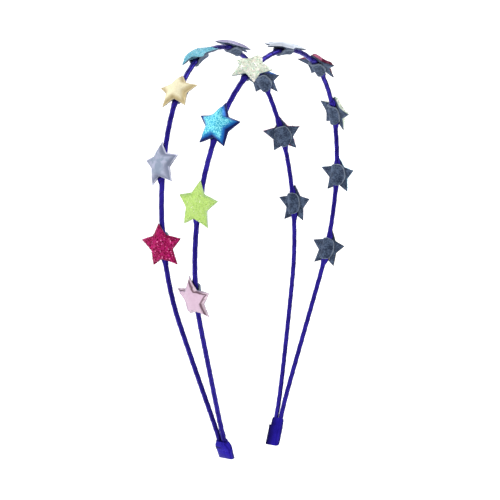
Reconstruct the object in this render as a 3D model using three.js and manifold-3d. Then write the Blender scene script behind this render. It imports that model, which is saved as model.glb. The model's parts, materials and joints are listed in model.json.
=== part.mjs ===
// Star headband: two ribbon-wrapped wire arches that spread apart from a folded ribbon tab at each end,
// set with padded stars. A star is a puffed face on a felt back, and a round felt patch holds it to its wire.
// It is built upright, with its ends down and -Y as the front, and then laid on its back band as it rests.
// Millimetres, +Z up. The origin is on the ground, under the middle of the resting headband.
import * as THREE from 'three';
import { mergeVertices } from 'three/addons/utils/BufferGeometryUtils.js';
import Module from 'manifold-3d';

const wasm = await Module();
wasm.setup();
const { degToRad, lerp } = THREE.MathUtils;

// Clearance between pieces that touch on the real headband
const FIT_GAP = 0.3;

// The wire arch, measured on the centre line of the wire in the leaning plane of its band
const ARCH_HEIGHT = 145;
const ARCH_HALF_WIDTH = 50;
const ARCH_ARCS = [
  { part: 'crown', radius: 47.4, turnDeg: 60 },
  { part: 'shoulder', radius: 66.4, turnDeg: 30 },
  { part: 'flank', radius: 81.2, turnDeg: 24.6 },
];

// Each band leans away from the other, a little more at its right leg than at its left one
const BANDS = {
  front: { leanDeg: -5.2, twistDeg: 0.1 },
  back: { leanDeg: 5.3, twistDeg: 2 },
};
const WIRE_DIAMETER = 1.7;
const WIRE_SIDES = 8;
const WIRE_STEPS = 72;
const WIRE_END_HEIGHT = 1.5;
const TANGENT_REACH = 0.5;
const WELD_DISTANCE = 1e-4;
const WIRE_OFFSET_IN_TAB = 0.98;
const SPREAD_SHARPNESS = 4;

// Ribbon tabs: the level of each end, the right leg being the longer, the tab's upright height and its width
// and depth, and how these change at each share of the height
const TABS = [
  { name: 'left', side: -1, end: 0, height: 7.0, width: 5.3, depth: 2.8 },
  { name: 'right', side: 1, end: -4.5, height: 8.2, width: 4.9, depth: 2.8 },
];
const TAB_SECTIONS = [
  { share: 0, wide: 0.97, deep: 0.86 },
  { share: 0.12, wide: 1, deep: 1 },
  { share: 0.8, wide: 1, deep: 1 },
  { share: 1, wide: 0.98, deep: 0.98 },
];
const TAB_CORNER_RADIUS = 0.9;
const TAB_CORNER_STEPS = 2;
const BORE_CLEARANCE = 0.2;
const BORE_STEPS = 4;
const BORE_LEAD = 3.4;

// Padded stars: outline, felt back, puffed face in rings from the rim to the middle
const STAR_TIP_RADIUS = 7.9;
const STAR_NOTCH_RADIUS = 4.3;
const STAR_TIP_ROUNDING = 0.45;
const STAR_POINTS = 5;
const TIP_CURVE_STEPS = 2;
const FELT_THICKNESS = 1;
const PAD_TOP = 2.1;
const PAD_RINGS = [
  { scale: 1, rise: 0 },
  { scale: 1, rise: 0.45 },
  { scale: 0.9, rise: 1.15 },
  { scale: 0.68, rise: 1.75 },
  { scale: 0.36, rise: 2.05 },
];

// Round felt patch over the wire, in columns across it
const PATCH_RADIUS = 4.2;
const PATCH_THICKNESS = 1;
const PATCH_HUMP_HALF_WIDTH = 2.9;
const PATCH_COLUMNS = 12;
const PATCH_END_TRIM = 0.98;

const FINISHES = {
  ribbonViolet: { color: 0x2c2a8c, roughness: 0.4, metalness: 0 },
  feltGrey: { color: 0x46536b, roughness: 0.95, metalness: 0 },
  foilRose: { color: 0xd8b8cd, roughness: 0.25, metalness: 0.8 },
  glitterLime: { color: 0xb8de70, roughness: 0.6, metalness: 0.2 },
  foilTurquoise: { color: 0x3fb8dc, roughness: 0.22, metalness: 0.9 },
  glitterPearl: { color: 0xdce6d2, roughness: 0.5, metalness: 0.2 },
  satinWhite: { color: 0xcdd7e4, roughness: 0.35, metalness: 0.5 },
  foilRed: { color: 0xc2405f, roughness: 0.25, metalness: 0.8 },
  glitterMagenta: { color: 0xb01c60, roughness: 0.5, metalness: 0.3 },
  satinSilver: { color: 0xa9b2ca, roughness: 0.35, metalness: 0.7 },
  satinGold: { color: 0xe6d9a8, roughness: 0.35, metalness: 0.7 },
  glitterSky: { color: 0x7cc6dc, roughness: 0.5, metalness: 0.3 },
  satinLilac: { color: 0x9d9bc4, roughness: 0.35, metalness: 0.6 },
};

// Stars by band, counted from the left tab. Station is the distance along the wire from the crown, spin turns
// a point of the star away from the wire, roll turns the star about the wire, and size scales its outline.
const STARS = [
  { band: 'front', station: -107, spinDeg: 11, rollDeg: -13, size: 1.03, face: 'foilRose' },
  { band: 'front', station: -75, spinDeg: 1.5, rollDeg: -6, size: 1.07, face: 'glitterLime' },
  { band: 'front', station: -48, spinDeg: 0, rollDeg: -3, size: 1.06, face: 'foilTurquoise' },
  { band: 'front', station: -22.3, spinDeg: -1, rollDeg: 7, size: 0.94, face: 'glitterPearl' },
  { band: 'front', station: 0, spinDeg: 18, rollDeg: 0, size: 1, face: 'satinWhite' },
  { band: 'front', station: 28, spinDeg: -33.5, rollDeg: 1, size: 1, face: 'foilRed' },
  { band: 'front', station: 53, spinDeg: -29, rollDeg: 15.5, size: 0.95, face: 'glitterPearl' },
  { band: 'front', station: 78.5, spinDeg: 32, rollDeg: 3, size: 0.95, face: 'glitterSky' },
  { band: 'front', station: 107, spinDeg: -35.5, rollDeg: 4, size: 0.95, face: 'satinGold' },
  { band: 'back', station: -90, spinDeg: 3, rollDeg: 2, size: 1.02, face: 'glitterMagenta' },
  { band: 'back', station: -63, spinDeg: 5, rollDeg: -13, size: 1, face: 'satinSilver' },
  { band: 'back', station: -36.3, spinDeg: 2.5, rollDeg: 1.5, size: 0.94, face: 'satinGold' },
  { band: 'back', station: -15.5, spinDeg: 6, rollDeg: -14, size: 0.93, face: 'glitterSky' },
  { band: 'back', station: 12.5, spinDeg: -20, rollDeg: 6, size: 0.9, face: 'satinLilac' },
  { band: 'back', station: 38.5, spinDeg: -30, rollDeg: -4, size: 0.96, face: 'foilTurquoise' },
  { band: 'back', station: 63.5, spinDeg: -33, rollDeg: -18.5, size: 0.96, face: 'glitterMagenta' },
  { band: 'back', station: 91, spinDeg: -30.5, rollDeg: 6.5, size: 0.97, face: 'foilRose' },
];

// How it rests, on points of three back stars: turned about its upright axis, then laid back
const REST_TURN_DEG = -3.89;
const REST_LAY_BACK_DEG = -85.25;

const WIRE_RADIUS = WIRE_DIAMETER / 2;
const FELT_INNER = WIRE_RADIUS + FIT_GAP;
const PAD_BASE = FELT_INNER + FELT_THICKNESS + FIT_GAP;

// A point of the arch at a distance along the wire from its crown: how far out and how high it is, how far
// the wire has turned from level, and its curvature there. Past the arcs the leg runs straight.
function archAt(station) {
  const side = Math.sign(station);
  let left = Math.abs(station);
  let out = 0;
  let height = ARCH_HEIGHT;
  let turn = 0;
  let curvature = 1 / ARCH_ARCS[0].radius;
  for (const { radius, turnDeg } of ARCH_ARCS) {
    const full = degToRad(turnDeg);
    const step = Math.min(left / radius, full);
    out += radius * (Math.sin(turn + step) - Math.sin(turn));
    height -= radius * (Math.cos(turn) - Math.cos(turn + step));
    if (left > 0) curvature = step < full ? 1 / radius : 0;
    turn += step;
    left -= radius * step;
  }
  out += left * Math.cos(turn);
  height -= left * Math.sin(turn);
  return { x: side * out, height, turn: side * turn, curvature };
}

const ARC_LENGTH = ARCH_ARCS.reduce((sum, { radius, turnDeg }) => sum + radius * degToRad(turnDeg), 0);
const LEG = archAt(ARC_LENGTH);

// Distance along the wire from the crown to a height on the straight leg
function legStation(height) {
  return ARC_LENGTH + (LEG.height - height) / Math.sin(LEG.turn);
}

function leanAt(band, x) {
  return degToRad(band.leanDeg + (band.twistDeg * x) / ARCH_HALF_WIDTH);
}

// A point on a band's wire. The bands spread as straight lines, and run side by side inside the tabs.
function wirePoint(band, station) {
  const { x, height } = archAt(station);
  const lean = leanAt(band, x);
  const spread = Math.abs(height * Math.sin(lean));
  const power = SPREAD_SHARPNESS;
  const offset = (spread ** power + WIRE_OFFSET_IN_TAB ** power) ** (1 / power);
  return new THREE.Vector3(x, Math.sign(band.leanDeg) * offset, height * Math.cos(lean));
}

class WireCurve extends THREE.Curve {
  constructor(band, from, to) {
    super();
    Object.assign(this, { band, from, to });
  }

  getPoint(t, target = new THREE.Vector3()) {
    return target.copy(wirePoint(this.band, lerp(this.from, this.to, t)));
  }
}

function roundBar(curve, radius, steps) {
  const corners = [];
  for (let i = 0; i < WIRE_SIDES; i++) {
    const angle = (2 * Math.PI * i) / WIRE_SIDES;
    corners.push(new THREE.Vector2(radius * Math.cos(angle), radius * Math.sin(angle)));
  }
  return new THREE.ExtrudeGeometry(new THREE.Shape(corners), { steps, extrudePath: curve });
}

// A closed skin over rings of equally many points, each ring closed by a fan about its own middle
function skin(rings) {
  const count = rings[0].length;
  const points = rings.flat();
  const faces = [];
  for (let r = 0; r + 1 < rings.length; r++) {
    for (let i = 0; i < count; i++) {
      const [a, b] = [r * count + i, r * count + ((i + 1) % count)];
      faces.push(a, b, b + count, a, b + count, a + count);
    }
  }
  for (const [ring, first] of [[rings[0], 0], [rings.at(-1), (rings.length - 1) * count]]) {
    const middle = ring.reduce((sum, p) => sum.add(p), new THREE.Vector3()).divideScalar(count);
    const apex = points.push(middle) - 1;
    for (let i = 0; i < count; i++) {
      const [a, b] = [first + i, first + ((i + 1) % count)];
      faces.push(...(first === 0 ? [apex, b, a] : [apex, a, b]));
    }
  }
  return new THREE.BufferGeometry().setFromPoints(points).setIndex(faces);
}

function toSolid(geometry) {
  const bare = geometry.clone();
  bare.deleteAttribute('normal');
  bare.deleteAttribute('uv');
  const merged = mergeVertices(bare, WELD_DISTANCE);
  return new wasm.Manifold(new wasm.Mesh({
    numProp: 3,
    vertProperties: new Float32Array(merged.attributes.position.array),
    triVerts: new Uint32Array(merged.index.array),
  }));
}

function toGeometry(solid) {
  const { vertProperties, triVerts, numProp } = solid.getMesh();
  const geometry = new THREE.BufferGeometry();
  geometry.setAttribute('position', new THREE.BufferAttribute(vertProperties, numProp));
  return geometry.setIndex(new THREE.BufferAttribute(triVerts, 1));
}

function piece(name, geometry, finish) {
  const mesh = new THREE.Mesh(geometry, new THREE.MeshStandardMaterial(FINISHES[finish]));
  mesh.name = name;
  return mesh;
}

function wireBand(name) {
  const [from, to] = TABS.map(({ side, end }) => side * legStation(end + WIRE_END_HEIGHT));
  const curve = new WireCurve(BANDS[name], from, to);
  return piece(`${name}_wire_band`, roundBar(curve, WIRE_RADIUS, WIRE_STEPS), 'ribbonViolet');
}

// A rounded rectangle, level, about a point of the leg
function tabSection({ x, z, width, depth }) {
  const ring = [];
  const corners = [[1, 1], [-1, 1], [-1, -1], [1, -1]];
  corners.forEach(([sx, sy], corner) => {
    for (let i = 0; i <= TAB_CORNER_STEPS; i++) {
      const angle = (Math.PI / 2) * (corner + i / TAB_CORNER_STEPS);
      const dx = sx * (depth / 2 - TAB_CORNER_RADIUS) + TAB_CORNER_RADIUS * Math.cos(angle);
      const dy = sy * (width / 2 - TAB_CORNER_RADIUS) + TAB_CORNER_RADIUS * Math.sin(angle);
      ring.push(new THREE.Vector3(x + dx, dy, z));
    }
  });
  return ring;
}

// A folded ribbon tab: flat underneath, with a blind bore for the end of each wire
function endTab({ name, side, end, height, width, depth }) {
  const rings = TAB_SECTIONS.map(({ share, wide, deep }) => {
    const z = end + share * height;
    const { x } = archAt(side * legStation(z));
    return tabSection({ x, z, width: wide * width, depth: deep * depth });
  });
  const boreEnd = side * legStation(end + WIRE_END_HEIGHT - FIT_GAP);
  const boreStart = side * legStation(end + height + BORE_LEAD);
  let solid = toSolid(skin(rings));
  for (const band of Object.values(BANDS)) {
    const bore = roundBar(new WireCurve(band, boreStart, boreEnd), WIRE_RADIUS + BORE_CLEARANCE, BORE_STEPS);
    solid = solid.subtract(toSolid(bore));
  }
  return piece(`${name}_end_tab`, toGeometry(solid), 'ribbonViolet');
}

// The star outline, with each point rounded off
function starShape() {
  const tips = [];
  for (let i = 0; i < 2 * STAR_POINTS; i++) {
    const radius = i % 2 ? STAR_NOTCH_RADIUS : STAR_TIP_RADIUS;
    const angle = (Math.PI * i) / STAR_POINTS;
    tips.push(new THREE.Vector2(radius * Math.cos(angle), radius * Math.sin(angle)));
  }
  const shape = new THREE.Shape();
  tips.forEach((tip, i) => {
    if (i % 2) {
      shape.lineTo(tip.x, tip.y);
      return;
    }
    const before = tips.at(i - 1);
    const after = tips[i + 1];
    const start = tip.clone().lerp(before, STAR_TIP_ROUNDING / tip.distanceTo(before));
    const end = tip.clone().lerp(after, STAR_TIP_ROUNDING / tip.distanceTo(after));
    if (i === 0) shape.moveTo(start.x, start.y);
    else shape.lineTo(start.x, start.y);
    shape.quadraticCurveTo(tip.x, tip.y, end.x, end.y);
  });
  return shape;
}

const STAR_OUTLINE = starShape();

function feltBack(size) {
  const geometry = new THREE.ExtrudeGeometry(STAR_OUTLINE, {
    depth: FELT_THICKNESS, bevelEnabled: false, curveSegments: TIP_CURVE_STEPS,
  });
  return geometry.scale(size, size, 1).translate(0, 0, FELT_INNER);
}

function puffedFace(size) {
  const outline = STAR_OUTLINE.getPoints(TIP_CURVE_STEPS);
  if (outline[0].equals(outline.at(-1))) outline.pop();
  const rings = PAD_RINGS.map(({ scale, rise }) =>
    outline.map((p) => new THREE.Vector3(scale * p.x, scale * p.y, PAD_BASE + rise)),
  );
  const geometry = skin(rings);
  const middle = geometry.attributes.position.count - 1;
  geometry.attributes.position.setZ(middle, PAD_BASE + PAD_TOP);
  return geometry.scale(size, size, 1);
}

// The patch lies on the felt at its sides and humps over the wire, following the bend of the wire
function wirePatch(curvature) {
  const flange = FELT_INNER - FIT_GAP;
  const humpDepth = flange + WIRE_RADIUS + FIT_GAP;
  const rings = [];
  for (let i = 0; i <= PATCH_COLUMNS; i++) {
    const across = PATCH_END_TRIM * PATCH_RADIUS * ((2 * i) / PATCH_COLUMNS - 1);
    const reach = Math.sqrt(PATCH_RADIUS ** 2 - across ** 2);
    const inHump = Math.min(1, Math.abs(across) / PATCH_HUMP_HALF_WIDTH);
    const top = flange - humpDepth * Math.cos((Math.PI / 2) * inHump) ** 2;
    const at = (along, z) => new THREE.Vector3(along, across, z - (curvature * along ** 2) / 2);
    const bottom = top - PATCH_THICKNESS;
    rings.push([
      at(-reach, top), at(0, top), at(reach, top), at(reach, bottom), at(0, bottom), at(-reach, bottom),
    ]);
  }
  return skin(rings);
}

// A place on the wire: x along it, z straight out from the arch
function starSeat({ band, station, rollDeg }) {
  const along = wirePoint(BANDS[band], station + TANGENT_REACH)
    .sub(wirePoint(BANDS[band], station - TANGENT_REACH)).normalize();
  const { x, turn } = archAt(station);
  const lean = leanAt(BANDS[band], x);
  const out = new THREE.Vector3(
    Math.sin(turn), Math.cos(turn) * Math.sin(lean), Math.cos(turn) * Math.cos(lean),
  );
  out.addScaledVector(along, -out.dot(along)).normalize();
  const seat = new THREE.Group();
  seat.applyMatrix4(new THREE.Matrix4().makeBasis(along, out.clone().cross(along), out));
  seat.position.copy(wirePoint(BANDS[band], station));
  return seat.rotateX(degToRad(rollDeg));
}

function star(row, number) {
  const name = `${row.band}_star_${number}`;
  const seat = starSeat(row);
  const felt = piece(`${name}_felt`, feltBack(row.size), 'feltGrey');
  const pad = piece(`${name}_pad`, puffedFace(row.size), row.face);
  felt.rotation.z = degToRad(row.spinDeg);
  pad.rotation.z = degToRad(row.spinDeg);
  seat.add(pad, felt, piece(`${name}_patch`, wirePatch(archAt(row.station).curvature), 'feltGrey'));
  return seat;
}

const upright = new THREE.Group();
upright.add(...Object.keys(BANDS).map(wireBand), ...TABS.map(endTab));
for (const band of Object.keys(BANDS)) {
  STARS.filter((row) => row.band === band).forEach((row, i) => upright.add(star(row, i + 1)));
}
upright.rotation.set(degToRad(REST_LAY_BACK_DEG), 0, degToRad(REST_TURN_DEG));
const extent = new THREE.Box3().setFromObject(upright, true);
const middle = extent.getCenter(new THREE.Vector3());
upright.position.set(-middle.x, -middle.y, -extent.min.z);

const headband = new THREE.Group();
headband.add(upright);
export default headband;
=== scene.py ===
import json
import random
from math import cos, exp, hypot, pi, radians, sin, tan, tau

import bmesh
import bpy
from mathutils import Matrix, Vector, noise


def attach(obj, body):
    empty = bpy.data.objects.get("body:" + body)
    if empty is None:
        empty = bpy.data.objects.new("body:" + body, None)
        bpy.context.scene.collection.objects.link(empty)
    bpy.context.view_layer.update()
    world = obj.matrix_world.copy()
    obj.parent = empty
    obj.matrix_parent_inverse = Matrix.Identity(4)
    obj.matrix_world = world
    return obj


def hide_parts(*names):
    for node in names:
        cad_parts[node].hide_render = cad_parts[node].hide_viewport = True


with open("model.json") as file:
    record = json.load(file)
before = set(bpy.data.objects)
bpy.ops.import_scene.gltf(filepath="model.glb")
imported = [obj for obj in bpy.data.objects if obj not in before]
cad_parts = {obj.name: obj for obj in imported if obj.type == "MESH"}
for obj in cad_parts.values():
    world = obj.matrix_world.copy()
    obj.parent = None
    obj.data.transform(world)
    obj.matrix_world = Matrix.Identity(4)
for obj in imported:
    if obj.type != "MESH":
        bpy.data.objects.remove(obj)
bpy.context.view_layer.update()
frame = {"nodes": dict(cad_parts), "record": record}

# The resting headband
# Both wires follow one arch of round arcs and straight legs, the right leg longer. It lies on its back
# band. The flat ends of its tabs, which the record gives as mounts, set its axes: across, back and up.
arch_height, arch_half_width = 0.145, 0.050
arch_arcs = (
    {"part": "crown", "radius": 0.0474, "turn": radians(60)},
    {"part": "shoulder", "radius": 0.0664, "turn": radians(30)},
    {"part": "flank", "radius": 0.0812, "turn": radians(24.6)},
)
leg_ends = {"left": 0.0, "right": -0.0045}


def arch_at(station):
    """How far out and high the wire is at a distance from its crown, its turn from level and its bend."""
    left, out, height, turn = abs(station), 0.0, arch_height, 0.0
    bend = 1 / arch_arcs[0]["radius"]
    for arc in arch_arcs:
        step = min(left / arc["radius"], arc["turn"])
        out += arc["radius"] * (sin(turn + step) - sin(turn))
        height -= arc["radius"] * (cos(turn) - cos(turn + step))
        if left > 0:
            bend = 1 / arc["radius"] if step < arc["turn"] else 0.0
        turn += step
        left -= arc["radius"] * step
    side = -1 if station < 0 else 1
    return side * (out + left * cos(turn)), height - left * sin(turn), side * turn, bend


arc_length = sum(arc["radius"] * arc["turn"] for arc in arch_arcs)
leg_height, leg_turn = arch_at(arc_length)[1:3]


def leg_station(height):
    """The distance along the wire from the crown to a height on the straight leg."""
    return arc_length + (leg_height - height) / sin(leg_turn)


mounts = {mount["name"]: mount for mount in frame["record"]["mounts"]}
left_end = Vector(mounts["left_tab_end"]["pos_m"])
right_end = Vector(mounts["right_tab_end"]["pos_m"])
crown_way = -Vector(mounts["left_tab_end"]["axis"]).normalized()
across_way = right_end - left_end
across_way = (across_way - across_way.project(crown_way)).normalized()
back_way = crown_way.cross(across_way)
lying = Matrix((across_way, back_way, crown_way)).transposed().to_4x4()
lying.translation = left_end + across_way * arch_at(leg_station(leg_ends["left"]))[0]
bpy.ops.object.select_all(action="DESELECT")

# Camera
# It stands to the headband as the photograph's camera did, well round to its left and a little above its
# middle, with a long lens.
view_turn, view_rise = radians(-59.63), radians(11.48)
view_distance = 0.6
view_target = Vector((-0.00024, 0.00041, 0.07261))
view_roll = radians(-0.15)
view_lens = 120.65
to_camera = Vector((sin(view_turn) * cos(view_rise), -cos(view_turn) * cos(view_rise), sin(view_rise)))
bpy.ops.object.camera_add()
camera = bpy.context.object
camera.data.lens = view_lens
camera.matrix_world = (
    lying
    @ Matrix.Translation(view_target + view_distance * to_camera)
    @ to_camera.to_track_quat("Z", "Y").to_matrix().to_4x4()
    @ Matrix.Rotation(view_roll, 4, "Z")
)
bpy.context.scene.camera = camera


# Floor and studio light
# A plain white table under a white tent, with light from all round and four softboxes: one overhead, one
# beside the camera, one beyond the crown and one beyond the tabs.
class Shade:
    """A shader socket that Python's operators turn into Math nodes."""

    def __init__(self, socket):
        self.socket = socket

    def node(self, kind, settings=None, inputs=None, out=0):
        """Add a node by its type, its settings, and the values or links of its sockets."""
        tree = self.socket.id_data
        made = tree.nodes.new(kind)
        for name, value in (settings or {}).items():
            setattr(made, name, value)
        for name, value in (inputs or {}).items():
            if isinstance(value, Shade):
                tree.links.new(value.socket, made.inputs[name])
            else:
                made.inputs[name].default_value = value
        return Shade(made.outputs[out])

    def math(self, operation, first, second):
        return self.node("ShaderNodeMath", {"operation": operation}, {0: first, 1: second})

    def __add__(self, other):
        return self.math("ADD", self, other)

    def __radd__(self, other):
        return self.math("ADD", other, self)

    def __sub__(self, other):
        return self.math("SUBTRACT", self, other)

    def __rsub__(self, other):
        return self.math("SUBTRACT", other, self)

    def __mul__(self, other):
        return self.math("MULTIPLY", self, other)

    def __rmul__(self, other):
        return self.math("MULTIPLY", other, self)

    def smooth(self, low, high):
        """0 below low, 1 above high, and an even rise between them."""
        return self.node(
            "ShaderNodeMapRange", {"interpolation_type": "SMOOTHSTEP"},
            {"Value": self, "From Min": low, "From Max": high},
        )

    def mix(self, first, second):
        """A colour that goes from the first to the second as this value goes from 0 to 1."""
        return self.node("ShaderNodeMix", {"data_type": "RGBA"}, {0: self, 6: first, 7: second}, 2)

    def feed(self, name):
        """Link this value to a socket of the material's shader."""
        tree = self.socket.id_data
        tree.links.new(self.socket, tree.nodes["Principled BSDF"].inputs[name])


def new_finish(name, **sockets):
    """A material with its shader's constant values, and the Object coordinates to make a pattern from."""
    material = bpy.data.materials.new(name)
    material.use_nodes = True
    tree = material.node_tree
    for socket, value in sockets.items():
        tree.nodes["Principled BSDF"].inputs[socket.replace("_", " ")].default_value = value
    return material, Shade(tree.nodes.new("ShaderNodeTexCoord").outputs["Object"])


def grain(place, scale, detail=3.0, **inputs):
    """Noise with so many grains to the metre."""
    return place.node(
        "ShaderNodeTexNoise", None, {"Vector": place, "Scale": scale, "Detail": detail, **inputs},
    )


def relief(height, strength, distance):
    """Raise a finish by a height that changes over it."""
    height.node(
        "ShaderNodeBump", None, {"Strength": strength, "Distance": distance, "Height": height},
    ).feed("Normal")


floor_size = 6.0
table_grain, table_relief, table_relief_depth = 900.0, 0.05, 0.0002
tent_strength = 0.38
bpy.ops.mesh.primitive_plane_add(size=floor_size)
floor = bpy.context.object
floor.name = "white_table"
table_white, place = new_finish(
    "table_white", Base_Color=(0.94, 0.94, 0.94, 1), Roughness=0.8,
    Emission_Color=(1, 1, 1, 1), Emission_Strength=0.4,
)
relief(grain(place, table_grain), table_relief, table_relief_depth)
floor.data.materials.append(table_white)

softboxes = (
    {"name": "overhead", "at": (-0.1, 0.1, 1.1), "side": 1.8, "watts": 11.0},
    {"name": "beside_camera", "at": (-1.0, 0.45, 0.55), "side": 1.0, "watts": 2.4},
    {"name": "beyond_crown", "at": (0.7, 0.7, 0.75), "side": 0.6, "watts": 5.5},
    {"name": "beyond_tabs", "at": (0.35, -1.0, 0.25), "side": 1.3, "watts": 9.5},
)
for softbox in softboxes:
    bpy.ops.object.light_add(type="AREA", location=softbox["at"])
    lamp = bpy.context.object
    lamp.name = softbox["name"]
    lamp.data.size = softbox["side"]
    lamp.data.energy = softbox["watts"]
    lamp.rotation_euler = Vector(softbox["at"]).to_track_quat("Z", "Y").to_euler()
tent = bpy.data.worlds.new("white_tent")
tent.use_nodes = True
tent.node_tree.nodes["Background"].inputs["Color"].default_value = (1, 1, 1, 1)
tent.node_tree.nodes["Background"].inputs["Strength"].default_value = tent_strength
bpy.context.scene.world = tent
bpy.context.scene.view_settings.view_transform = "Standard"

# Wire bands
# Two springy steel wires, each wound from end to end with narrow satin ribbon, every turn lapping the
# last. The ribbon is wound straight as one long strip, bent along the arch, and bunched at each star.
bands = {
    "front": {"side": -1, "lean": radians(-5.2), "twist": radians(0.1)},
    "back": {"side": 1, "lean": radians(5.3), "twist": radians(2)},
}
wire_radius = 0.00085
wire_end_height = 0.0015
wire_offset_in_tab, spread_sharpness = 0.00098, 4
wire_start = -leg_station(leg_ends["left"] + wire_end_height)
wire_stop = leg_station(leg_ends["right"] + wire_end_height)
wire_steps = 520


def wire_point(band, station):
    """A point on the centre line of a band, as the headband lies."""
    x, height = arch_at(station)[:2]
    lean = bands[band]["lean"] + bands[band]["twist"] * x / arch_half_width
    spread = abs(height * sin(lean))
    offset = (spread**spread_sharpness + wire_offset_in_tab**spread_sharpness) ** (1 / spread_sharpness)
    return lying @ Vector((x, bands[band]["side"] * offset, height * cos(lean)))


stations = [wire_start + (wire_stop - wire_start) * i / wire_steps for i in range(wire_steps + 1)]
routes = {band: [wire_point(band, station) for station in stations] for band in bands}


def distinct_points(node):
    """The corners of a CAD node, each once."""
    corners = {tuple(round(c, 6) for c in vertex.co) for vertex in frame["nodes"][node].data.vertices}
    return [Vector(corner) for corner in sorted(corners)]


solid_tip_reach = 0.007705


def star_seat(star):
    """A star's place on its felt's back, y to one of its points and z out of its face, and its size."""
    felt, pad = distinct_points(f"{star}_felt"), distinct_points(f"{star}_pad")
    middle = sum(felt, Vector()) / len(felt)
    out = (sum(pad, Vector()) / len(pad) - middle).normalized()
    spokes = [point - middle - (point - middle).project(out) for point in felt]
    to_tip = max(spokes, key=lambda spoke: spoke.length)
    size = to_tip.length / solid_tip_reach
    to_tip.normalize()
    seat = Matrix((to_tip.cross(out), to_tip, out)).transposed().to_4x4()
    seat.translation = middle + out * min(out.dot(point - middle) for point in felt)
    return seat, Matrix.Diagonal((size, size, 1, 1))


stars = [node[: -len("_felt")] for node in sorted(frame["nodes"]) if node.endswith("_felt")]
seats, sizes = {}, {}
for star in stars:
    seats[star], sizes[star] = star_seat(star)


def wire_seat(star):
    """The same place turned to the wire, y along it, with the station there and the bend of the wire."""
    route = routes[star.split("_")[0]]
    middle, out = seats[star].translation, seats[star].col[2].xyz
    nearest = min(range(1, wire_steps), key=lambda i: (route[i] - middle).length)
    along = route[nearest + 1] - route[nearest - 1]
    along = (along - along.project(out)).normalized()
    place = Matrix((along.cross(out), along, out)).transposed().to_4x4()
    place.translation = middle
    return place, stations[nearest], arch_at(stations[nearest])[3]


wire_seats = {star: wire_seat(star) for star in stars}


def apply_modifiers(piece):
    bpy.context.view_layer.objects.active = piece
    for modifier in list(piece.modifiers):
        bpy.ops.object.modifier_apply(modifier=modifier.name)


def smooth(piece, angle=radians(40)):
    bpy.ops.object.select_all(action="DESELECT")
    piece.select_set(True)
    bpy.context.view_layer.objects.active = piece
    bpy.ops.object.shade_smooth_by_angle(angle=angle)
    piece.select_set(False)


ribbon_thickness = 0.00009
ribbon_steps_a_turn = 20
ribbon_profile = (
    {"along": 0.0, "radius": 0.00087},
    {"along": 0.0006, "radius": 0.00087},
    {"along": 0.0017, "radius": 0.00084},
    {"along": 0.0029, "radius": 0.00081},
    {"along": 0.0042, "radius": 0.00079},
    {"along": 0.0051, "radius": 0.00077},
)
ribbon_width = ribbon_profile[-1]["along"]
wanted_pitch = 0.0042
loose_winding = {"front": 0.016, "back": 0.007}
loose_lap = 2.2
loose_ease = 0.5
bunch_middle, bunch_reach = 0.0043, 0.0024
bunch_least, bunch_most = 0.3, 0.9
bunch_tuck, bunch_ease = 0.75, 1.5
ribbon_threads, ribbon_mottle = 42.0, 260.0
# Painted shade darkens the ribbon up to this share of its width, at its lapping edge.
painted_shade_across = 0.10
ribbon_roughness, thread_roughness = 0.19, 0.14
thread_relief, thread_relief_depth = 0.25, 0.00004


def satin(name, tones):
    """Satin ribbon with threads along it, darker at its edge with painted shade where its across value is
    low.
    """
    finish, place = new_finish(name, Metallic=0.7, Specular_IOR_Level=0.05)
    width_place = place.node("ShaderNodeAttribute", {"attribute_name": "across"}, out="Fac")
    threads = place.node(
        "ShaderNodeTexNoise", {"noise_dimensions": "1D"}, {"W": width_place * ribbon_threads, "Detail": 2.0},
    )
    violet = grain(place, ribbon_mottle).smooth(0.3, 0.7).mix(tones["deep"], tones["bright"])
    # The edge tone is painted shade, laid where the across value is low.
    width_place.smooth(0.0, painted_shade_across).mix(tones["edge"], violet).feed("Base Color")
    (ribbon_roughness + thread_roughness * threads).feed("Roughness")
    relief(threads, thread_relief, thread_relief_depth)
    return finish


ribbon_tones = {
    # The edge tone is painted shade along the lapping edge of each turn.
    "edge": (0.010, 0.006, 0.11, 1),
    "deep": (0.016, 0.009, 0.175, 1),
    "bright": (0.028, 0.018, 0.265, 1),
}
ribbon_satin = satin("ribbon_satin", ribbon_tones)

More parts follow.
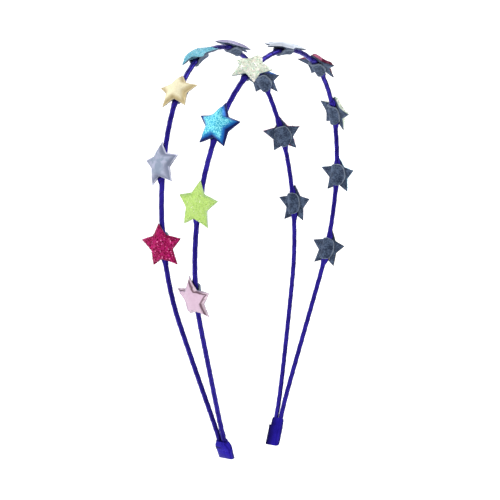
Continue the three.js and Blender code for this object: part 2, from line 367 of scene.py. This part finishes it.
for band, route in routes.items():
    path = bpy.data.curves.new(f"{band}_arch", "CURVE")
    path.dimensions = "3D"
    spline = path.splines.new("POLY")
    spline.points.add(wire_steps)
    for point, at in zip(spline.points, route):
        point.co = (*at, 1)
    arch = bpy.data.objects.new(f"{band}_arch", path)
    bpy.context.collection.objects.link(arch)
    route_length = sum((second - first).length for first, second in zip(route, route[1:]))
    turns = round((route_length - ribbon_width) / wanted_pitch)
    pitch = (route_length - ribbon_width) / turns

    bpy.ops.mesh.primitive_plane_add(size=pitch)
    ribbon = bpy.context.object
    ribbon.name = f"{band}_ribbon_wound_wire"
    bpy.ops.object.mode_set(mode="EDIT")
    bpy.ops.mesh.merge(type="CENTER")
    bpy.ops.transform.translate(value=(0, 0, ribbon_profile[0]["radius"]))
    for last, row in zip(ribbon_profile, ribbon_profile[1:]):
        step = (row["along"] - last["along"], 0, row["radius"] - last["radius"])
        bpy.ops.mesh.extrude_region_move(TRANSFORM_OT_translate={"value": step})
    bpy.ops.object.mode_set(mode="OBJECT")
    across = ribbon.data.attributes.new("across", "FLOAT", "POINT")
    for vertex in ribbon.data.vertices:
        across.data[vertex.index].value = vertex.co.x / ribbon_width
    winding = ribbon.modifiers.new("winding", "SCREW")
    winding.axis = "X"
    winding.screw_offset = pitch
    winding.iterations = turns
    winding.steps = winding.render_steps = ribbon_steps_a_turn
    winding.use_normal_calculate = True
    thickness = ribbon.modifiers.new("thickness", "SOLIDIFY")
    thickness.thickness = ribbon_thickness
    thickness.offset = 0
    apply_modifiers(ribbon)
    for vertex in ribbon.data.vertices:
        radius = hypot(vertex.co.y, vertex.co.z)
        loose = max(0, 1 - vertex.co.x / loose_winding[band]) ** loose_ease
        wanted = wire_radius + (radius - wire_radius) * (1 + loose_lap * loose)
        vertex.co.yz = vertex.co.yz * (wanted / radius)
    places = [
        wire_start + (wire_stop - wire_start) * vertex.co.x / route_length
        for vertex in ribbon.data.vertices
    ]
    bending = ribbon.modifiers.new("bending", "CURVE")
    bending.object = arch
    bending.deform_axis = "POS_X"
    apply_modifiers(ribbon)
    bpy.data.objects.remove(arch)

    chance = random.Random(band)
    for star in (star for star in stars if star.startswith(band)):
        place, station = wire_seats[star][:2]
        bunches = {side: chance.uniform(bunch_least, bunch_most) for side in (-1, 1)}
        to_seat = place.inverted()
        for vertex in ribbon.data.vertices:
            away = places[vertex.index] - station
            off = (abs(away) - bunch_middle) / bunch_reach
            if abs(off) < 1:
                bunch = bunches[-1 if away < 0 else 1] * cos(off * pi / 2) ** bunch_ease
                at = to_seat @ vertex.co
                at.z += bunch_tuck * bunch * abs(at.x)
                at.x *= 1 + bunch
                vertex.co = place @ at
    smooth(ribbon)
    ribbon.data.materials.append(ribbon_satin)
    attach(ribbon, "root")
    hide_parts(f"{band}_wire_band")

# End tabs
# At each end the two wires run side by side into a tab of the same ribbon, folded over their ends and
# pressed flat. The left tab has a folded shoulder over a crease, the right one a narrower wrap on a step.
# Each tab's back edge share and crease entry set how much painted shade darkens its satin.
tabs = {
    "left": {
        "side": -1,
        "back_edge_shown": 0.8,
        "crease": {"above_end": 0.0046, "dark": 1.0},
        "sections": (
            {"along": -0.0030, "width": 0.00550, "depth": 0.00215, "shift": 0.0},
            {"along": 0.0038, "width": 0.00580, "depth": 0.00225, "shift": -0.00010},
            {"along": 0.0040, "width": 0.00550, "depth": 0.00210, "shift": -0.00010},
            {"along": 0.0043, "width": 0.00600, "depth": 0.00245, "shift": -0.00010},
            {"along": 0.0054, "width": 0.00600, "depth": 0.00250, "shift": 0.0},
            {"along": 0.0064, "width": 0.00540, "depth": 0.00240, "shift": 0.00010},
            {"along": 0.0073, "width": 0.00420, "depth": 0.00215, "shift": 0.00010},
            {"along": 0.0082, "width": 0.00385, "depth": 0.00195, "shift": 0.0},
        ),
    },
    "right": {
        "side": 1,
        "back_edge_shown": 0.0,
        "crease": {"above_end": 0.0073, "dark": 0.3},
        "sections": (
            {"along": -0.0030, "width": 0.00510, "depth": 0.00220, "shift": 0.00020},
            {"along": 0.0058, "width": 0.00510, "depth": 0.00230, "shift": 0.00030},
            {"along": 0.0070, "width": 0.00520, "depth": 0.00240, "shift": 0.00035},
            {"along": 0.0071, "width": 0.00430, "depth": 0.00210, "shift": 0.0},
            {"along": 0.0092, "width": 0.00410, "depth": 0.00205, "shift": 0.0},
            {"along": 0.0099, "width": 0.00385, "depth": 0.00195, "shift": 0.0},
        ),
    },
}
tab_corner, tab_corner_steps = 0.0006, 4
tab_cuts, tab_smooth_angle = 4, radians(30)
tab_crown, tab_crown_from = 0.00025, 0.0012
tab_crush, tab_crush_grain = 0.00006, 900
tab_end_tolerance = 0.00001
tab_shown, crease_reach = 0.13, 0.0005
tab_tones = {
    # The edge tone is painted shade, laid in the crease and towards the back edge.
    "edge": (0.004, 0.002, 0.045, 1),
    "deep": (0.011, 0.006, 0.20, 1),
    "bright": (0.020, 0.012, 0.30, 1),
}
tab_satin = satin("tab_satin", tab_tones)

for name, tab in tabs.items():
    first = tab["sections"][0]
    bpy.ops.mesh.primitive_plane_add(size=1)
    fold = bpy.context.object
    fold.name = f"{name}_folded_ribbon_tab"
    bpy.ops.object.mode_set(mode="EDIT")
    bpy.ops.transform.resize(value=(first["depth"], first["width"], 1))
    bpy.ops.mesh.bevel(offset=tab_corner, segments=tab_corner_steps, affect="VERTICES")
    bpy.ops.transform.translate(value=(0, first["shift"], first["along"]))
    for last, row in zip(tab["sections"], tab["sections"][1:]):
        move = (0, row["shift"] - last["shift"], row["along"] - last["along"])
        bpy.ops.mesh.extrude_region_move(TRANSFORM_OT_translate={"value": move})
        bpy.ops.transform.resize(
            value=(row["depth"] / last["depth"], row["width"] / last["width"], 1),
            center_override=(0, row["shift"], row["along"]),
        )
    bpy.ops.mesh.select_all(action="SELECT")
    bpy.ops.mesh.normals_make_consistent(inside=False)
    bpy.ops.object.mode_set(mode="OBJECT")
    level = leg_ends[name]
    foot_x = tab["side"] * arch_at(leg_station(level))[0]
    leg_lean = tab["side"] * (leg_turn - pi / 2)
    fold.data.transform(Matrix.Translation((foot_x, 0, level)) @ Matrix.Rotation(leg_lean, 4, "Y"))
    bpy.ops.object.mode_set(mode="EDIT")
    bpy.ops.mesh.select_all(action="SELECT")
    bpy.ops.mesh.bisect(plane_co=(0, 0, level), plane_no=(0, 0, 1), use_fill=True, clear_inner=True)
    bpy.ops.mesh.select_all(action="SELECT")
    bpy.ops.mesh.subdivide(number_cuts=tab_cuts)
    bpy.ops.object.mode_set(mode="OBJECT")
    across = fold.data.attributes.new("across", "FLOAT", "POINT")
    for vertex in fold.data.vertices:
        off_middle = min(1, abs(2 * vertex.co.y / first["width"]))
        from_back = min(1, max(0, 0.5 - vertex.co.y / first["width"]))
        above_end = vertex.co.z - level
        crease = exp(-(((above_end - tab["crease"]["above_end"]) / crease_reach) ** 2))
        painted_light = 1 - tab["crease"]["dark"] * crease * (1 - from_back)
        painted_light *= tab["back_edge_shown"] + (1 - tab["back_edge_shown"]) * from_back
        # Painted shade darkens the satin in the crease, and towards the back edge of the right tab.
        across.data[vertex.index].value = tab_shown * painted_light
        if above_end > tab_end_tolerance:
            crown = tab_crown * (1 - off_middle**2) * min(1, above_end / tab_crown_from)
            crush = noise.noise(vertex.co * tab_crush_grain) * tab_crush
            vertex.co += vertex.normal * (crown + crush)
    fold.data.transform(lying)
    smooth(fold, tab_smooth_angle)
    fold.data.materials.append(tab_satin)
    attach(fold, "root")
    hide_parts(f"{name}_end_tab")

# Felt backs
# Behind each puffed face lies a flat star of pressed grey felt, cut with the face and sealed to it at the
# edge, where it is thin. It lies where its CAD solid is, and sags and bends over its wire.
felt_tip_radius, felt_notch_radius = 0.00780, 0.00424
felt_thickness, felt_edge_thickness, felt_edge_width = 0.00055, 0.00018, 0.0009
felt_cuts = 11
star_points = 5
radius_tolerance = 0.000001
bow_share = 1.7
curls = {"front_star_5": 1.0, "back_star_4": 2.6, "back_star_5": 1.0}
tilts = {"front_star_5": radians(5), "back_star_4": radians(12), "back_star_5": radians(2)}
rolls = {"back_star_5": radians(7)}
star_sag, sag_reach = 0.0009, 0.0026
sags = {"front_star_5": 0.0003, "back_star_5": 0.0003}
felt_matting, felt_mottle = 1700.0, 420.0
matting_share, mottle_share = 0.62, 0.38
felt_tones = {
    "dark": (0.018, 0.029, 0.058, 1),
    "light": (0.092, 0.130, 0.208, 1),
    # The rim tone is partly paler cut fibres and partly a painted highlight along a patch's edge.
    "rim": (0.19, 0.23, 0.30, 1),
}
felt_relief, felt_relief_depth = 0.7, 0.00012

pressed_felt, place = new_finish(
    "pressed_felt", Roughness=0.95, Specular_IOR_Level=0.1, Sheen_Weight=0.14, Sheen_Roughness=0.6,
    Sheen_Tint=(0.7, 0.8, 1.0, 1),
)
matted = grain(place, felt_matting, 5.0, Roughness=0.7)
fibre = matting_share * matted + mottle_share * grain(place, felt_mottle)
grey = fibre.smooth(0.42, 0.60).mix(felt_tones["dark"], felt_tones["light"])
# The pale rim mixes paler cut fibres with a painted highlight along the patch's edge.
rim_pale = place.node("ShaderNodeAttribute", {"attribute_name": "rim_pale"}, out="Fac")
(rim_pale.smooth(0.3, 0.9) * matted.smooth(0.2, 0.55)).mix(grey, felt_tones["rim"]).feed("Base Color")
relief(matted, felt_relief, felt_relief_depth)


def pick(piece, kind, chosen):
    """Select the verts, edges or faces of a piece in edit mode that a test chooses."""
    bpy.ops.mesh.select_all(action="DESELECT")
    mesh = bmesh.from_edit_mesh(piece.data)
    for element in getattr(mesh, kind):
        if chosen(element):
            element.select_set(True)
    bmesh.update_edit_mesh(piece.data)


def to_outline(point, tip, notch):
    """How far a point of a flat star lies inside its outline."""
    corners, gaps = [], []
    for i in range(2 * star_points):
        angle = i * tau / (2 * star_points)
        corners.append(Vector((-sin(angle), cos(angle))) * (notch if i % 2 else tip))
    for first, second in zip(corners, corners[1:] + corners[:1]):
        side = second - first
        along = min(1, max(0, (point - first).dot(side) / side.dot(side)))
        gaps.append((first + side * along - point).length)
    return min(gaps)


def star_sheet(name, tip, notch, cuts):
    """A flat star of five kites that meet in its middle, each cut into a grid of small squares."""
    bpy.ops.mesh.primitive_circle_add(vertices=2 * star_points, radius=tip, fill_type="TRIFAN")
    sheet = bpy.context.object
    sheet.name = name
    bpy.ops.object.mode_set(mode="EDIT")
    bpy.ops.mesh.select_mode(type="VERT")
    pick(
        sheet, "verts",
        lambda vertex: vertex.co.length > 0 and cos(star_points * vertex.co.xy.angle_signed((0, 1), 0)) < 0,
    )
    bpy.ops.transform.resize(value=(notch / tip, notch / tip, 1))
    bpy.ops.mesh.select_mode(type="EDGE")
    pick(sheet, "edges", lambda edge: abs(edge.calc_length() - tip) < radius_tolerance)
    bpy.ops.mesh.dissolve_edges(use_verts=False)
    bpy.ops.mesh.select_all(action="SELECT")
    bpy.ops.mesh.subdivide(number_cuts=cuts)
    bpy.ops.mesh.select_mode(type="VERT")
    bpy.ops.object.mode_set(mode="OBJECT")
    return sheet


def copy_to(model, name, place):
    """A copy of a model with its own mesh, moved to its place."""
    piece = bpy.data.objects.new(name, model.data.copy())
    bpy.context.collection.objects.link(piece)
    piece.data.transform(place)
    return piece


def drop(star, x, y):
    """How far a star's back falls away from flat, at a place across its wire and along it."""
    bend = curls.get(star, bow_share) * wire_seats[star][2]
    sag = sags.get(star, star_sag) * (1 - exp(-((x / sag_reach) ** 2)))
    return sag + bend * y * y / 2 + x * tan(rolls.get(star, 0)) + y * tan(tilts.get(star, 0))


def hug(piece, star):
    """Bend a piece of a star over its wire."""
    place = wire_seats[star][0]
    to_seat = place.inverted()
    for vertex in piece.data.vertices:
        at = to_seat @ vertex.co
        at.z -= drop(star, at.x, at.y)
        vertex.co = place @ at


felt_star = star_sheet("felt_star", felt_tip_radius, felt_notch_radius, felt_cuts)
slab = felt_star.modifiers.new("slab", "SOLIDIFY")
slab.thickness = felt_thickness
slab.offset = 1
apply_modifiers(felt_star)
for vertex in felt_star.data.vertices:
    if vertex.co.z < felt_thickness / 2:
        inside = to_outline(vertex.co.xy, felt_tip_radius, felt_notch_radius)
        vertex.co.z += (felt_thickness - felt_edge_thickness) * max(0, 1 - inside / felt_edge_width) ** 2
smooth(felt_star)
felt_star.data.materials.append(pressed_felt)
for star in stars:
    felt = copy_to(felt_star, f"{star}_felt_back", seats[star] @ sizes[star])
    hug(felt, star)
    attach(felt, "root")
    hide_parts(f"{star}_felt")
bpy.data.objects.remove(felt_star)

# Felt patches
# A round of the same felt is glued over the wire on the inner side of each star. It lies flat on the star's
# back at its sides and humps over the wire between, and a paler line, partly cut fibres and partly a painted
# highlight, runs round its face where it was cut.
patch_radius, patch_thickness = 0.0042, 0.0008
patch_corners, patch_span = 48, 12
hump_half_width = 0.0027
wire_depth, ribbon_clearance = 0.00115, 0.00006
hump_depth = wire_depth + wire_radius + ribbon_clearance
patch_ragged, patch_ragged_grain = 0.035, 420
patch_lift, patch_lift_grain, patch_lift_power = 0.00012, 300, 4
patch_glue = 0.00002
patch_drawn_in, patch_off_centre = 0.80, 0.0005
patch_rim_from, patch_smooth_angle = 0.97, radians(60)
cut_edge_grain = 1800.0
cut_edge_tones = {"dark": (0.045, 0.064, 0.103, 1), "light": (0.13, 0.17, 0.24, 1)}
cut_edge_relief, cut_edge_relief_depth = 0.6, 0.0001

felt_edge, place = new_finish("felt_cut_edge", Roughness=0.95, Specular_IOR_Level=0.1, Sheen_Weight=0.2)
matted = grain(place, cut_edge_grain, 4.0)
matted.smooth(0.3, 0.7).mix(cut_edge_tones["dark"], cut_edge_tones["light"]).feed("Base Color")
relief(matted, cut_edge_relief, cut_edge_relief_depth)

for number, star in enumerate(stars):
    place, bend = wire_seats[star][0], wire_seats[star][2]
    bpy.ops.mesh.primitive_circle_add(vertices=patch_corners, radius=patch_radius)
    patch = bpy.context.object
    patch.name = f"{star}_felt_patch"
    bpy.ops.object.mode_set(mode="EDIT")
    bpy.ops.mesh.fill_grid(span=patch_span)
    bpy.ops.object.mode_set(mode="OBJECT")
    chance = random.Random(number)
    off_x, off_y = (chance.uniform(-patch_off_centre, patch_off_centre) for axis in "xy")
    # The pale rim ring takes the paler cut fibres and the painted highlight.
    rim_pale = patch.data.attributes.new("rim_pale", "FLOAT", "POINT")
    for vertex in patch.data.vertices:
        at_rim = vertex.co.length > patch_rim_from * patch_radius
        rim_pale.data[vertex.index].value = 1.0 if at_rim else 0.0
        ragged = 1 + patch_ragged * noise.noise(vertex.co * patch_ragged_grain + Vector((number, 0, 0)))
        x, y = off_x + vertex.co.x * ragged * patch_drawn_in, off_y + vertex.co.y * ragged
        hump = cos(min(1, abs(x) / hump_half_width) * pi / 2) ** 2
        lift = patch_lift * (hypot(x, y) / patch_radius) ** patch_lift_power
        lift *= abs(noise.noise(Vector((x, y, 0)) * patch_lift_grain))
        over_wire, on_felt = hump_depth + bend * y * y / 2, drop(star, x, y)
        vertex.co = (x, y, -max(on_felt, hump * over_wire + (1 - hump) * on_felt) - patch_glue - lift)
    slab = patch.modifiers.new("slab", "SOLIDIFY")
    slab.thickness = patch_thickness
    slab.offset = -1
    slab.material_offset_rim = 1
    slab.use_even_offset = True
    round_off = patch.modifiers.new("round_off", "SUBSURF")
    round_off.levels = round_off.render_levels = 1
    apply_modifiers(patch)
    patch.data.transform(place)
    smooth(patch, patch_smooth_angle)
    patch.data.materials.append(pressed_felt)
    patch.data.materials.append(felt_edge)
    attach(patch, "root")
    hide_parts(f"{star}_patch")

# Puffed faces
# Each face is a star of foil, glitter cloth or satin-coated cloth, pressed over foam so that it puffs up
# inside a thin sealed rim. One star is puffed by a cloth simulation, at a hundred times its size, and then
# pressed to the height and fullness of its kind.
pad_tip_radius, pad_notch_radius = 0.00783, 0.00427
pad_rim_width, pad_rim_thickness = 0.00034, 0.00016
pad_cuts, pad_smooth_angle = 17, radians(50)
puff_scale, puff_frames = 100, 24
puff_kinds = {
    "round": {"height": 0.0021, "fullness": 2.6, "squareness": 2.2},
    "soft": {"height": 0.0016, "fullness": 3.0, "squareness": 2.2},
    "low": {"height": 0.0011, "fullness": 3.2, "squareness": 2.2},
    "flat": {"height": 0.0014, "fullness": 4.5, "squareness": 3.0},
    "deep": {"height": 0.0014, "fullness": 5.5, "squareness": 3.0},
}

puffed_star = star_sheet("puffed_star", pad_tip_radius, pad_notch_radius, pad_cuts)
rim = puffed_star.vertex_groups.new(name="rim")
for vertex in puffed_star.data.vertices:
    if to_outline(vertex.co.xy, pad_tip_radius, pad_notch_radius) < pad_rim_width:
        rim.add([vertex.index], 1.0, "REPLACE")
puffed_star.data.transform(Matrix.Scale(puff_scale, 4))
puff = puffed_star.modifiers.new("puff", "CLOTH")
puff.settings.quality = 6
puff.settings.mass = 0.3
puff.settings.tension_stiffness = puff.settings.compression_stiffness = 12
puff.settings.shear_stiffness = 6
puff.settings.bending_stiffness = 0.4
puff.settings.vertex_group_mass = "rim"
puff.settings.use_pressure = True
puff.settings.uniform_pressure_force = 6.0
puff.settings.effector_weights.gravity = 0
puff.point_cache.frame_end = puff_frames
for step in range(1, puff_frames + 1):
    bpy.context.scene.frame_set(step)
apply_modifiers(puffed_star)
puffed_star.data.transform(Matrix.Scale(1 / puff_scale, 4))
highest = max(vertex.co.z for vertex in puffed_star.data.vertices)


def pressed_star(kind):
    """The puffed star held to the height of its kind and smoothed, with its sealed rim and flat back."""
    height, fullness, squareness = kind["height"], kind["fullness"], kind["squareness"]
    face = copy_to(puffed_star, "pressed_star", Matrix())
    for vertex in face.data.vertices:
        full = max(0, vertex.co.z) / highest * fullness
        vertex.co.z = height * full / (1 + full**squareness) ** (1 / squareness)
    top = max(vertex.co.z for vertex in face.data.vertices)
    face.data.transform(Matrix.Diagonal((1, 1, height / top, 1)))
    finer = face.modifiers.new("finer", "SUBSURF")
    finer.levels = finer.render_levels = 1
    apply_modifiers(face)
    inside = face.data.attributes.new("inside_mm", "FLOAT", "POINT")
    for vertex in face.data.vertices:
        gap = to_outline(vertex.co.xy, pad_tip_radius, pad_notch_radius)
        inside.data[vertex.index].value = 1000 * gap
    bpy.ops.object.select_all(action="DESELECT")
    face.select_set(True)
    bpy.ops.object.mode_set(mode="EDIT")
    bpy.ops.mesh.select_all(action="DESELECT")
    bpy.ops.mesh.select_non_manifold()
    bpy.ops.mesh.extrude_region_move(TRANSFORM_OT_translate={"value": (0, 0, -pad_rim_thickness)})
    bpy.ops.mesh.edge_face_add()
    bpy.ops.mesh.select_all(action="SELECT")
    bpy.ops.mesh.normals_make_consistent(inside=False)
    bpy.ops.object.mode_set(mode="OBJECT")
    smooth(face, pad_smooth_angle)
    return face


pressed = {name: pressed_star(kind) for name, kind in puff_kinds.items()}
bpy.data.objects.remove(puffed_star)

slope_wander, slope_wander_grain = 0.5, 500.0
face_relief_depth = 0.0001
# Each face's slope tone is painted shade and dark reflection on the slopes round its crown.
faces = {
    "foil_rose": {
        "press": "flat", "metallic": 0.45, "roughness": 0.17, "grain": 700.0, "relief": 0.03,
        "rim_to": (0.28, 0.5), "crown_from": (0.6, 0.8), "bright_from": (0.4, 0.62),
        "rim": (0.6, 0.46, 0.54), "slope_shade": (0.17, 0.1, 0.13),
        "crown": (0.58, 0.42, 0.53), "bright": (0.61, 0.445, 0.555),
    },
    # The turquoise's bright tone is painted highlights on its crinkles.
    "foil_turquoise": {
        "press": "round", "metallic": 0.45, "roughness": 0.4, "grain": 2300.0, "relief": 0.6,
        "rim_to": (0.28, 0.6), "crown_from": (0.55, 1.6), "bright_from": (0.4, 0.62),
        "rim": (0.004, 0.01, 0.1), "slope_shade": (0.004, 0.11, 0.42),
        "crown": (0.012, 0.37, 0.58), "bright": (0.3, 0.87, 0.95),
    },
    # The red's bright tone is painted highlight streaks.
    "foil_red": {
        "press": "deep", "metallic": 0.5, "roughness": 0.2, "grain": 900.0, "relief": 0.35,
        "rim_to": (0.16, 0.4), "crown_from": (0.4, 1.6), "bright_from": (0.52, 0.6),
        "rim": (0.12, 0.02, 0.04), "slope_shade": (0.13, 0.013, 0.05),
        "crown": (0.22, 0.025, 0.075), "bright": (0.5, 0.17, 0.26),
    },
    "satin_gold": {
        "press": "soft", "metallic": 0.35, "roughness": 0.48, "grain": 2200.0, "relief": 0.1,
        "rim_to": (0.16, 0.4), "crown_from": (0.3, 1.9), "bright_from": (0.4, 0.62),
        "rim": (0.66, 0.56, 0.34), "slope_shade": (0.47, 0.375, 0.19),
        "crown": (0.78, 0.715, 0.48), "bright": (0.85, 0.79, 0.57),
    },
    "satin_silver": {
        "press": "soft", "metallic": 0.35, "roughness": 0.46, "grain": 420.0, "relief": 0.14,
        "rim_to": (0.16, 0.4), "crown_from": (0.3, 1.8), "bright_from": (0.4, 0.62),
        "rim": (0.55, 0.56, 0.7), "slope_shade": (0.215, 0.24, 0.34),
        "crown": (0.265, 0.317, 0.42), "bright": (0.41, 0.43, 0.56),
    },
    "satin_white": {
        "press": "low", "metallic": 0.3, "roughness": 0.46, "grain": 2200.0, "relief": 0.1,
        "rim_to": (0.16, 0.4), "crown_from": (0.3, 1.5), "bright_from": (0.4, 0.62),
        "rim": (0.62, 0.66, 0.74), "slope_shade": (0.5, 0.55, 0.64),
        "crown": (0.6, 0.66, 0.75), "bright": (0.7, 0.74, 0.82),
    },
    "satin_lilac": {
        "press": "low", "metallic": 0.35, "roughness": 0.46, "grain": 2200.0, "relief": 0.1,
        "rim_to": (0.16, 0.4), "crown_from": (0.3, 1.5), "bright_from": (0.4, 0.62),
        "rim": (0.48, 0.46, 0.63), "slope_shade": (0.29, 0.27, 0.43),
        "crown": (0.38, 0.36, 0.53), "bright": (0.44, 0.42, 0.58),
    },
    "glitter_lime": {
        "press": "flat", "metallic": 0.0, "roughness": 0.7, "grain": 2600.0, "relief": 0.4,
        "rim_to": (0.16, 0.4), "crown_from": (0.1, 0.6), "bright_from": (0.4, 0.62),
        "rim": (0.44, 0.62, 0.3), "slope_shade": (0.37, 0.57, 0.17),
        "crown": (0.44, 0.67, 0.15), "bright": (0.54, 0.74, 0.22),
    },
    "glitter_pearl": {
        "press": "flat", "metallic": 0.0, "roughness": 0.6, "grain": 2000.0, "relief": 0.5,
        "rim_to": (0.16, 0.4), "crown_from": (0.1, 0.6), "bright_from": (0.4, 0.62),
        "rim": (0.53, 0.61, 0.53), "slope_shade": (0.5, 0.58, 0.5),
        "crown": (0.62, 0.7, 0.58), "bright": (0.74, 0.81, 0.68),
    },
    "glitter_magenta": {
        "press": "flat", "metallic": 0.0, "roughness": 0.7, "grain": 2600.0, "relief": 0.4,
        "rim_to": (0.16, 0.4), "crown_from": (0.1, 0.6), "bright_from": (0.4, 0.62),
        "rim": (0.22, 0.003, 0.045), "slope_shade": (0.24, 0.003, 0.05),
        "crown": (0.32, 0.003, 0.07), "bright": (0.43, 0.006, 0.115),
    },
    "glitter_sky": {
        "press": "flat", "metallic": 0.0, "roughness": 0.7, "grain": 2600.0, "relief": 0.4,
        "rim_to": (0.16, 0.4), "crown_from": (0.1, 0.6), "bright_from": (0.4, 0.62),
        "rim": (0.2, 0.5, 0.62), "slope_shade": (0.14, 0.42, 0.55),
        "crown": (0.145, 0.5, 0.64), "bright": (0.25, 0.6, 0.72),
    },
}


def face_finish(slot):
    """A face's coated cloth or foil, with rim and crown tones, painted shade on its slopes and a fine grain.
    """
    face = faces[slot]
    rim_tone, slope_shade_tone, crown_tone, bright_tone = (
        (*face[name], 1) for name in ("rim", "slope_shade", "crown", "bright")
    )
    finish, place = new_finish(
        slot, Metallic=face["metallic"], Roughness=face["roughness"], Specular_IOR_Level=0.2,
    )
    inside = place.node("ShaderNodeAttribute", {"attribute_name": "inside_mm"}, out="Fac")
    fine = grain(place, face["grain"], 4.0, Distortion=0.6)
    # On the turquoise and red foils the bright tone is painted highlights; elsewhere it is a lighter grain.
    crown = fine.smooth(*face["bright_from"]).mix(crown_tone, bright_tone)
    wander = inside + slope_wander * (grain(place, slope_wander_grain) - 0.5)
    # Painted shade on the slopes gives way to the crown's tone, along a wandering line.
    upper = wander.smooth(*face["crown_from"]).mix(slope_shade_tone, crown)
    # The rim tone is the face's colour with painted shade on the darker rims and a painted highlight on the
    # paler ones.
    inside.smooth(*face["rim_to"]).mix(rim_tone, upper).feed("Base Color")
    relief(fine, face["relief"], face_relief_depth)
    return finish


slot_of = {part["node"]: part["material_slot"] for part in frame["record"]["subparts"]}
finishes = {slot: face_finish(slot) for slot in faces}
pads = {}
for star in stars:
    slot = slot_of[f"{star}_pad"]
    on_felt = seats[star] @ sizes[star] @ Matrix.Translation((0, 0, felt_thickness + pad_rim_thickness))
    pad = copy_to(pressed[faces[slot]["press"]], f"{star}_puffed_face", on_felt)
    hug(pad, star)
    pad.data.materials.append(finishes[slot])
    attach(pad, "root")
    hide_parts(f"{star}_pad")
    pads[star] = pad
for face in pressed.values():
    bpy.data.objects.remove(face)

# Glitter
# The glitter faces are strewn with small six-sided flakes of film, each tilted its own way so that some
# catch the light, and a few are painted in a pale colour as glints. A bead of glue under each one holds it
# on the face, and every star's flakes are one mesh.
# The flash colour and share of flashes paint a few flakes pale, as painted glints.
glitters = {
    "glitter_lime": {
        "flakes": 1300, "radius": 0.00016, "tilt": 0.2, "metallic": 0.15, "painted_glints": 0.02,
        "tones": ((0.33, 0.57, 0.09), (0.44, 0.66, 0.16), (0.61, 0.78, 0.34)), "painted_glint": (1.0, 1.0, 0.85),
    },
    "glitter_pearl": {
        "flakes": 520, "radius": 0.00032, "tilt": 0.42, "metallic": 0.35, "painted_glints": 0.08,
        "tones": ((0.40, 0.66, 0.47), (0.85, 0.79, 0.78), (0.93, 0.92, 0.72)), "painted_glint": (1.0, 1.0, 1.0),
    },
    "glitter_magenta": {
        "flakes": 900, "radius": 0.00022, "tilt": 0.34, "metallic": 0.5, "painted_glints": 0.07,
        "tones": ((0.05, 0.0, 0.008), (0.27, 0.001, 0.06), (0.80, 0.03, 0.28)), "painted_glint": (1.0, 0.24, 0.52),
    },
    "glitter_sky": {
        "flakes": 1000, "radius": 0.00019, "tilt": 0.28, "metallic": 0.3, "painted_glints": 0.04,
        "tones": ((0.06, 0.29, 0.45), (0.165, 0.51, 0.65), (0.40, 0.74, 0.83)), "painted_glint": (0.95, 1.0, 1.0),
    },
}
flake_lift, flake_root = 0.00003, 0.00008
flake_sides = 6
flake_smallest, flake_largest = 0.7, 1.25
flake_least_facing = 0.3
flake_roughness = 0.25
painted_glint_ease = 0.005


def strewn_flakes(pad, star, seed, glitter):
    """Flakes laid at random over the upper side of a face, each on a bead of glue, as one mesh."""
    chance = random.Random(seed)
    out = seats[star].col[2].xyz
    squares = [cell for cell in pad.data.polygons if len(cell.vertices) == 4]
    cells = [cell for cell in squares if cell.normal.dot(out) > flake_least_facing]
    corners, sides, tones = [], [], []
    for cell in chance.choices(cells, weights=[cell.area for cell in cells], k=glitter["flakes"]):
        first, second, third = (pad.data.vertices[i].co for i in list(cell.vertices)[:3])
        middle = first + (second - first) * chance.random() + (third - second) * chance.random()
        facing = cell.normal + Vector([chance.gauss(0, glitter["tilt"]) for axis in "xyz"])
        turn = facing.to_track_quat("Z", "Y")
        radius = glitter["radius"] * chance.uniform(flake_smallest, flake_largest)
        spin = chance.uniform(0, tau)
        tone = chance.random()
        start = len(corners)
        for i in range(flake_sides):
            angle = spin + i * tau / flake_sides
            reach = turn @ Vector((cos(angle), sin(angle), 0)) * radius
            corners.append(middle + cell.normal * flake_lift + reach)
        corners.append(middle - cell.normal * flake_root)
        rim = list(range(start, start + flake_sides))
        sides.append(rim)
        sides += [(second, first, start + flake_sides) for first, second in zip(rim, rim[1:] + rim[:1])]
        tones += [tone] * (1 + flake_sides)
    mesh = bpy.data.meshes.new(f"{star}_glitter_flakes")
    mesh.from_pydata(corners, [], sides)
    mesh.attributes.new("tone", "FLOAT", "FACE").data.foreach_set("value", tones)
    piece = bpy.data.objects.new(mesh.name, mesh)
    bpy.context.collection.objects.link(piece)
    return piece


def flake_finish(slot):
    """The film of the flakes, from dull to bright by the tone of each, with a few painted pale as glints."""
    glitter = glitters[slot]
    dull, middling, bright = ((*tone, 1) for tone in glitter["tones"])
    finish, place = new_finish(
        f"{slot}_flakes", Metallic=glitter["metallic"], Roughness=flake_roughness, Specular_IOR_Level=0.1,
    )
    tone = place.node("ShaderNodeAttribute", {"attribute_name": "tone"}, out="Fac")
    colour = tone.smooth(0.35, 0.95).mix(tone.smooth(0.0, 0.4).mix(dull, middling), bright)
    # Flakes with the highest tones take the pale colour as a painted glint.
    painted_glint_from = 1 - glitter["painted_glints"]
    painted_glint = tone.smooth(painted_glint_from, painted_glint_from + painted_glint_ease)
    painted_glint.mix(colour, (*glitter["painted_glint"], 1)).feed("Base Color")
    return finish


flake_finishes = {slot: flake_finish(slot) for slot in glitters}
for number, star in enumerate(stars):
    slot = slot_of[f"{star}_pad"]
    if slot in glitters:
        flakes = strewn_flakes(pads[star], star, number + 1, glitters[slot])
        flakes.data.materials.append(flake_finishes[slot])
        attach(flakes, "root")
